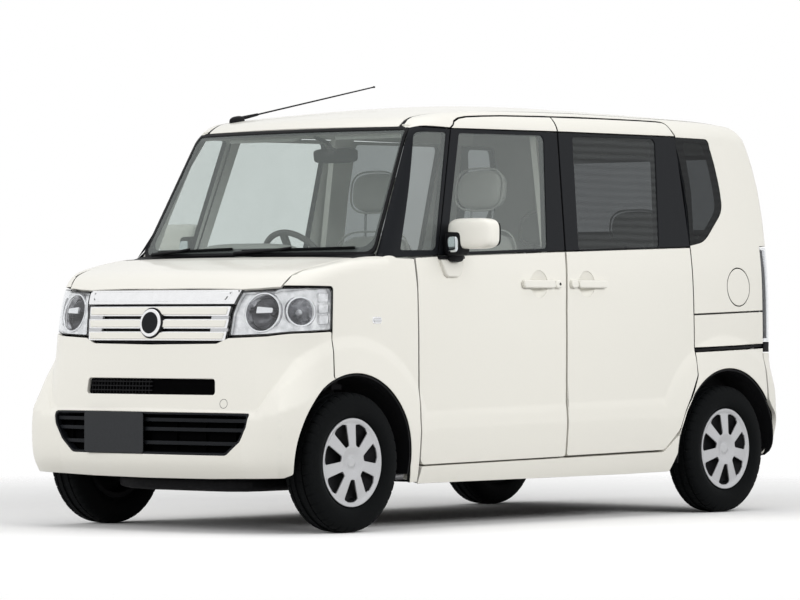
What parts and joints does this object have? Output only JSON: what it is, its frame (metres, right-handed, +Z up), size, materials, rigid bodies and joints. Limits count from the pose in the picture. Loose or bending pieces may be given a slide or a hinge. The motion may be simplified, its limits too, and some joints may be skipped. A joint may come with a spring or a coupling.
{
  "type": "kei car",
  "caption": "Tall five-door kei car with front doors on hinges, sliding rear doors, tailgate, glazed cabin and four wheels.",
  "frame": {"origin": "on the floor under the middle of the car's length and width", "axes": "+X to the car's left, +Y to its rear (the nose points along -Y), +Z up"},
  "size_m": [1.854, 3.395, 1.8769],
  "materials": {
    "paint": "gloss",
    "black_trim": "gloss",
    "black_plastic": "matte",
    "clear_glass": "gloss",
    "dark_glass": "gloss",
    "lamp_clear": "gloss",
    "lamp_red": "gloss",
    "chrome": "polished",
    "rubber": "matte",
    "wheel_silver": "satin",
    "chassis_black": "matte",
    "cast_metal": "rough",
    "steel": "brushed",
    "interior": "matte",
    "dash_plastic": "matte",
    "seat_fabric": "woven"
  },
  "bodies": {
    "body_shell": {"side_frame_left": "paint", "side_frame_right": "paint", "door_aperture_left": "paint", "door_aperture_right": "paint", "roof_panel": "paint", "front_fenders": "paint", "front_bumper": "paint", "rear_bumper": "paint", "grille": "chrome", "headlamps": "lamp_clear", "tail_lamps": "lamp_red", "windscreen": "clear_glass", "quarter_windows": "dark_glass", "sliding_door_left": "paint", "sliding_door_right": "paint", "sliding_door_glass": "dark_glass", "cowl": "black_plastic", "firewall": "chassis_black", "floor_pan": "chassis_black", "front_subframe": "chassis_black", "front_struts": "chassis_black", "rear_axle": "chassis_black", "wheelhouses": "black_plastic", "engine_block": "cast_metal", "radiator": "chassis_black", "fuel_tank": "black_plastic", "exhaust": "steel", "dashboard": "dash_plastic", "steering_column": "dash_plastic", "front_seats": "seat_fabric", "rear_seats": "seat_fabric", "antenna": "chassis_black", "wipers": "black_plastic"},
    "front_door_left_body": {"front_door_left": "paint", "front_door_glass_left": "clear_glass", "door_mirror_left": "paint"},
    "front_door_right_body": {"front_door_right": "paint", "front_door_glass_right": "clear_glass", "door_mirror_right": "paint"},
    "bonnet_body": {"bonnet": "paint"},
    "tailgate_body": {"tailgate": "paint", "tailgate_glass": "dark_glass"},
    "fuel_lid_body": {"fuel_lid": "paint"},
    "steering_wheel_body": {"steering_wheel": "dash_plastic"},
    "knuckle_left_body": {"knuckle_left": "cast_metal"},
    "knuckle_right_body": {"knuckle_right": "cast_metal"},
    "wheel_front_left_body": {"tyre_front_left": "rubber", "wheel_front_left": "wheel_silver"},
    "wheel_front_right_body": {"tyre_front_right": "rubber", "wheel_front_right": "wheel_silver"},
    "wheel_rear_left_body": {"tyre_rear_left": "rubber", "wheel_rear_left": "wheel_silver"},
    "wheel_rear_right_body": {"tyre_rear_right": "rubber", "wheel_rear_right": "wheel_silver"}
  },
  "joints": [
    {"name": "front_door_left_hinge", "type": "hinge", "parent": "body_shell", "child": "front_door_left_body", "pos_m": [0.72, -0.834, 0.65], "axis": [0, 0, -1], "range_deg": [0, 70]},
    {"name": "front_door_right_hinge", "type": "hinge", "parent": "body_shell", "child": "front_door_right_body", "pos_m": [-0.72, -0.834, 0.65], "axis": [0, 0, 1], "range_deg": [0, 70]},
    {"name": "bonnet_hinge", "type": "hinge", "parent": "body_shell", "child": "bonnet_body", "pos_m": [0, -1.158, 1.108], "axis": [-1, 0, 0], "range_deg": [0, 55]},
    {"name": "tailgate_hinge", "type": "hinge", "parent": "body_shell", "child": "tailgate_body", "pos_m": [0, 1.488, 1.745], "axis": [1, 0, 0], "range_deg": [0, 80]},
    {"name": "fuel_lid_hinge", "type": "hinge", "parent": "body_shell", "child": "fuel_lid_body", "pos_m": [0.714, 1.304, 0.998], "axis": [0, 0, -1], "range_deg": [0, 100]},
    {"name": "steer_left", "type": "hinge", "parent": "body_shell", "child": "knuckle_left_body", "pos_m": [0.6, -1.2375, 0.281], "axis": [0, 0, 1], "range_deg": [-35, 35]},
    {"name": "steer_right", "type": "hinge", "parent": "body_shell", "child": "knuckle_right_body", "pos_m": [-0.6, -1.2375, 0.281], "axis": [0, 0, 1], "range_deg": [-35, 35]},
    {"name": "steering_wheel_turn", "type": "hinge", "parent": "body_shell", "child": "steering_wheel_body", "pos_m": [-0.33, -0.408, 1.074], "axis": [0, 0.8829, 0.4695], "range_deg": [-600, 600]},
    {"name": "wheel_front_left_spin", "type": "hinge", "parent": "knuckle_left_body", "child": "wheel_front_left_body", "pos_m": [0.6525, -1.2375, 0.281], "axis": [1, 0, 0], "continuous": true},
    {"name": "wheel_front_right_spin", "type": "hinge", "parent": "knuckle_right_body", "child": "wheel_front_right_body", "pos_m": [-0.6525, -1.2375, 0.281], "axis": [1, 0, 0], "continuous": true},
    {"name": "wheel_rear_left_spin", "type": "hinge", "parent": "body_shell", "child": "wheel_rear_left_body", "pos_m": [0.6525, 1.2825, 0.281], "axis": [1, 0, 0], "continuous": true},
    {"name": "wheel_rear_right_spin", "type": "hinge", "parent": "body_shell", "child": "wheel_rear_right_body", "pos_m": [-0.6525, 1.2825, 0.281], "axis": [1, 0, 0], "continuous": true}
  ],
  "couplings": [
    {"joint": "steer_right", "follows": "steer_left", "ratio": 1},
    {"joint": "steering_wheel_turn", "follows": "steer_left", "ratio": 16}
  ]
}
